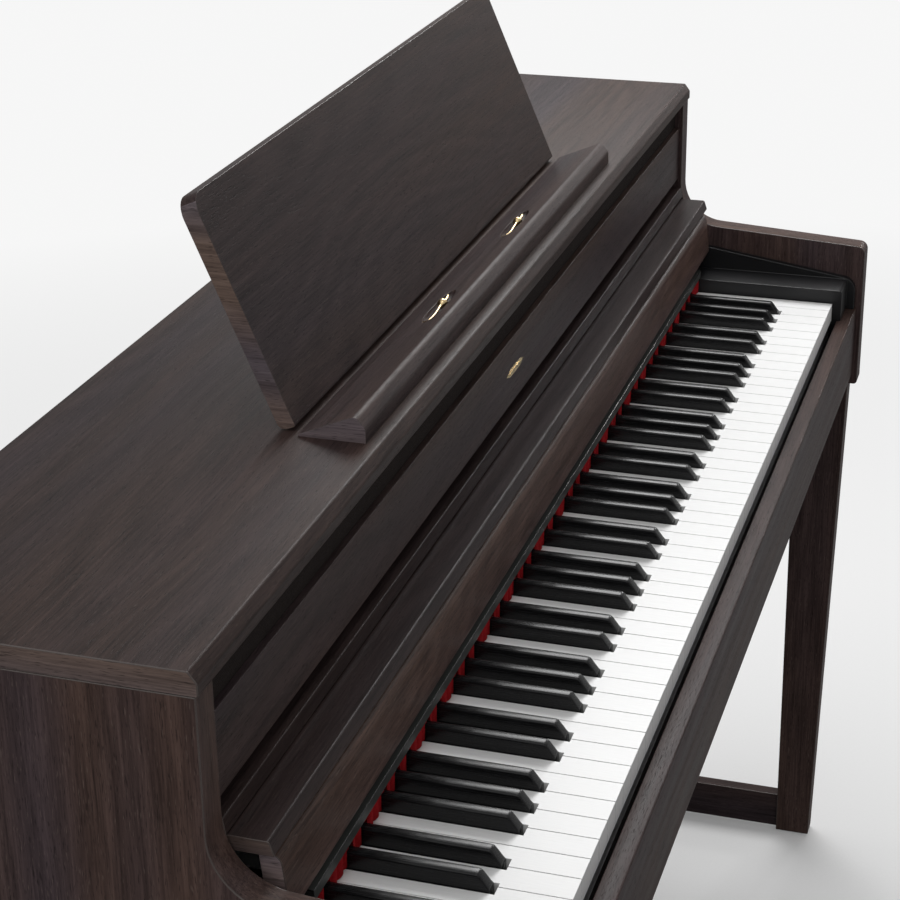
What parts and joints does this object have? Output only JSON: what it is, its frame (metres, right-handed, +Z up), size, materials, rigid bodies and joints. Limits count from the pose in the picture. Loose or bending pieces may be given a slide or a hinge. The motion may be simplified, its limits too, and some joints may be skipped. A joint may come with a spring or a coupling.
{
  "type": "digital piano on stand",
  "caption": "Upright-cabinet digital piano on a two-sided stand, with a full keyboard, sliding lid, folding music rest and pedals.",
  "frame": {"origin": "on the floor, at the middle of the cabinet's footprint", "axes": "+X towards the treble end, +Y from the player to the back of the cabinet, +Z up"},
  "size_m": [1.377, 0.468, 1.1221],
  "materials": {
    "dark_wood": "satin dark rosewood grain",
    "block_black": "semi-gloss",
    "black_plastic": "satin",
    "key_white": "smooth satin",
    "key_black": "satin",
    "red_felt": "felt",
    "grille_cloth": "woven speaker cloth",
    "brass": "polished",
    "steel": "zinc plated",
    "black_metal": "satin black",
    "display_glass": "smoked window",
    "speaker_plastic": "moulded",
    "circuit_green": "circuit board"
  },
  "bodies": {
    "cabinet": {"left_side_panel": "dark_wood", "right_side_panel": "dark_wood", "left_front_leg": "dark_wood", "right_front_leg": "dark_wood", "left_foot_rail": "dark_wood", "right_foot_rail": "dark_wood", "foot_glides": "black_plastic", "top_board": "dark_wood", "back_panel": "dark_wood", "back_panel_screws": "steel", "keybed": "dark_wood", "key_slip": "dark_wood", "front_panel": "dark_wood", "speaker_cloth": "grille_cloth", "lid_trim_rail": "dark_wood", "lid_guides": "black_plastic", "felt_rail": "black_plastic", "key_felt": "red_felt", "key_frame": "steel", "key_pivot_rod": "steel", "left_key_block": "block_black", "right_key_block": "block_black", "display_window": "display_glass", "music_ledge": "dark_wood", "rest_hinge_brackets": "black_metal", "rest_hinge_pins": "steel", "pedal_box": "black_plastic", "knee_board": "dark_wood", "pedal_beam": "dark_wood", "speakers": "speaker_plastic", "circuit_board": "circuit_green", "power_inlet": "black_plastic", "headphone_jack_box": "black_plastic"},
    "lid": {"lid_panel": "dark_wood", "lid_front": "dark_wood", "lid_rollers": "black_plastic"},
    "music_rest": {"music_rest": "dark_wood"},
    "rest_stay": {"rest_stay": "black_metal"},
    "keys_c": {"keys_c": "key_white"},
    "keys_c_sharp": {"keys_c_sharp": "key_black"},
    "keys_d": {"keys_d": "key_white"},
    "keys_d_sharp": {"keys_d_sharp": "key_black"},
    "keys_e": {"keys_e": "key_white"},
    "keys_f": {"keys_f": "key_white"},
    "keys_f_sharp": {"keys_f_sharp": "key_black"},
    "keys_g": {"keys_g": "key_white"},
    "keys_g_sharp": {"keys_g_sharp": "key_black"},
    "keys_a": {"keys_a": "key_white"},
    "keys_a_sharp": {"keys_a_sharp": "key_black"},
    "keys_b": {"keys_b": "key_white"},
    "page_holder_left": {"page_holder_left": "brass"},
    "page_holder_right": {"page_holder_right": "brass"},
    "soft_pedal": {"soft_pedal": "brass"},
    "sostenuto_pedal": {"sostenuto_pedal": "brass"},
    "damper_pedal": {"damper_pedal": "brass"},
    "pedal_adjuster": {"pedal_adjuster": "black_plastic"},
    "power_button": {"power_button": "black_plastic"},
    "function_button_1": {"function_button_1": "black_plastic"},
    "function_button_2": {"function_button_2": "black_plastic"},
    "volume_knob": {"volume_knob": "black_plastic"}
  },
  "joints": [
    {"name": "lid_slide", "type": "slide", "parent": "cabinet", "child": "lid", "axis": [0, -0.9947, -0.1028], "range_m": [0, 0.163]},
    {"name": "keys_c_press", "type": "hinge", "parent": "cabinet", "child": "keys_c", "pos_m": [0, 0.018, 0.724], "axis": [1, 0, 0], "range_deg": [0, 2.5], "stiffness_Nm_per_rad": 10, "springref_deg": -11.46},
    {"name": "keys_c_sharp_press", "type": "hinge", "parent": "cabinet", "child": "keys_c_sharp", "pos_m": [0, 0.018, 0.724], "axis": [1, 0, 0], "range_deg": [0, 2.5], "stiffness_Nm_per_rad": 10, "springref_deg": -11.46},
    {"name": "keys_d_press", "type": "hinge", "parent": "cabinet", "child": "keys_d", "pos_m": [0, 0.018, 0.724], "axis": [1, 0, 0], "range_deg": [0, 2.5], "stiffness_Nm_per_rad": 10, "springref_deg": -11.46},
    {"name": "keys_d_sharp_press", "type": "hinge", "parent": "cabinet", "child": "keys_d_sharp", "pos_m": [0, 0.018, 0.724], "axis": [1, 0, 0], "range_deg": [0, 2.5], "stiffness_Nm_per_rad": 10, "springref_deg": -11.46},
    {"name": "keys_e_press", "type": "hinge", "parent": "cabinet", "child": "keys_e", "pos_m": [0, 0.018, 0.724], "axis": [1, 0, 0], "range_deg": [0, 2.5], "stiffness_Nm_per_rad": 10, "springref_deg": -11.46},
    {"name": "keys_f_press", "type": "hinge", "parent": "cabinet", "child": "keys_f", "pos_m": [0, 0.018, 0.724], "axis": [1, 0, 0], "range_deg": [0, 2.5], "stiffness_Nm_per_rad": 10, "springref_deg": -11.46},
    {"name": "keys_f_sharp_press", "type": "hinge", "parent": "cabinet", "child": "keys_f_sharp", "pos_m": [0, 0.018, 0.724], "axis": [1, 0, 0], "range_deg": [0, 2.5], "stiffness_Nm_per_rad": 10, "springref_deg": -11.46},
    {"name": "keys_g_press", "type": "hinge", "parent": "cabinet", "child": "keys_g", "pos_m": [0, 0.018, 0.724], "axis": [1, 0, 0], "range_deg": [0, 2.5], "stiffness_Nm_per_rad": 10, "springref_deg": -11.46},
    {"name": "keys_g_sharp_press", "type": "hinge", "parent": "cabinet", "child": "keys_g_sharp", "pos_m": [0, 0.018, 0.724], "axis": [1, 0, 0], "range_deg": [0, 2.5], "stiffness_Nm_per_rad": 10, "springref_deg": -11.46},
    {"name": "keys_a_press", "type": "hinge", "parent": "cabinet", "child": "keys_a", "pos_m": [0, 0.018, 0.724], "axis": [1, 0, 0], "range_deg": [0, 2.5], "stiffness_Nm_per_rad": 10, "springref_deg": -11.46},
    {"name": "keys_a_sharp_press", "type": "hinge", "parent": "cabinet", "child": "keys_a_sharp", "pos_m": [0, 0.018, 0.724], "axis": [1, 0, 0], "range_deg": [0, 2.5], "stiffness_Nm_per_rad": 10, "springref_deg": -11.46},
    {"name": "keys_b_press", "type": "hinge", "parent": "cabinet", "child": "keys_b", "pos_m": [0, 0.018, 0.724], "axis": [1, 0, 0], "range_deg": [0, 2.5], "stiffness_Nm_per_rad": 10, "springref_deg": -11.46},
    {"name": "rest_fold", "type": "hinge", "parent": "cabinet", "child": "music_rest", "pos_m": [0, 0.054, 0.9615], "axis": [1, 0, 0], "range_deg": [-67.2, 0]},
    {"name": "stay_fold", "type": "hinge", "parent": "music_rest", "child": "rest_stay", "pos_m": [0, 0.08421, 1.0269], "axis": [1, 0, 0], "range_deg": [0, 119.5]},
    {"name": "page_holder_left_swing", "type": "hinge", "parent": "cabinet", "child": "page_holder_left", "pos_m": [-0.142, 0.01515, 0.96425], "axis": [0, -0.9222, 0.3867], "range_deg": [0, 90]},
    {"name": "page_holder_right_swing", "type": "hinge", "parent": "cabinet", "child": "page_holder_right", "pos_m": [0.08, 0.01515, 0.96425], "axis": [0, -0.9222, 0.3867], "range_deg": [0, 90]},
    {"name": "soft_pedal_press", "type": "hinge", "parent": "cabinet", "child": "soft_pedal", "pos_m": [0, 0.112, 0.051], "axis": [1, 0, 0], "range_deg": [0, 5.5], "stiffness_Nm_per_rad": 15, "springref_deg": -5.73},
    {"name": "sostenuto_pedal_press", "type": "hinge", "parent": "cabinet", "child": "sostenuto_pedal", "pos_m": [0, 0.112, 0.051], "axis": [1, 0, 0], "range_deg": [0, 5.5], "stiffness_Nm_per_rad": 15, "springref_deg": -5.73},
    {"name": "damper_pedal_press", "type": "hinge", "parent": "cabinet", "child": "damper_pedal", "pos_m": [0, 0.112, 0.051], "axis": [1, 0, 0], "range_deg": [0, 5.5], "stiffness_Nm_per_rad": 15, "springref_deg": -5.73},
    {"name": "pedal_adjuster_turn", "type": "hinge", "parent": "cabinet", "child": "pedal_adjuster", "pos_m": [0, 0.092, 0], "axis": [0, 0, 1], "range_deg": [0, 720]},
    {"name": "power_button_press", "type": "slide", "parent": "cabinet", "child": "power_button", "axis": [0, 0, -1], "range_m": [0, 0.0012], "stiffness_N_per_m": 800, "springref_m": -0.001},
    {"name": "function_button_1_press", "type": "slide", "parent": "cabinet", "child": "function_button_1", "axis": [0, 0, -1], "range_m": [0, 0.0012], "stiffness_N_per_m": 800, "springref_m": -0.001},
    {"name": "function_button_2_press", "type": "slide", "parent": "cabinet", "child": "function_button_2", "axis": [0, 0, -1], "range_m": [0, 0.0012], "stiffness_N_per_m": 800, "springref_m": -0.001},
    {"name": "volume_knob_turn", "type": "hinge", "parent": "cabinet", "child": "volume_knob", "pos_m": [-0.634, -0.098, 0.75], "axis": [0, 0, 1], "range_deg": [-140, 140]}
  ],
  "couplings": [
    {"joint": "stay_fold", "follows": "rest_fold", "ratio": -1.775}
  ]
}
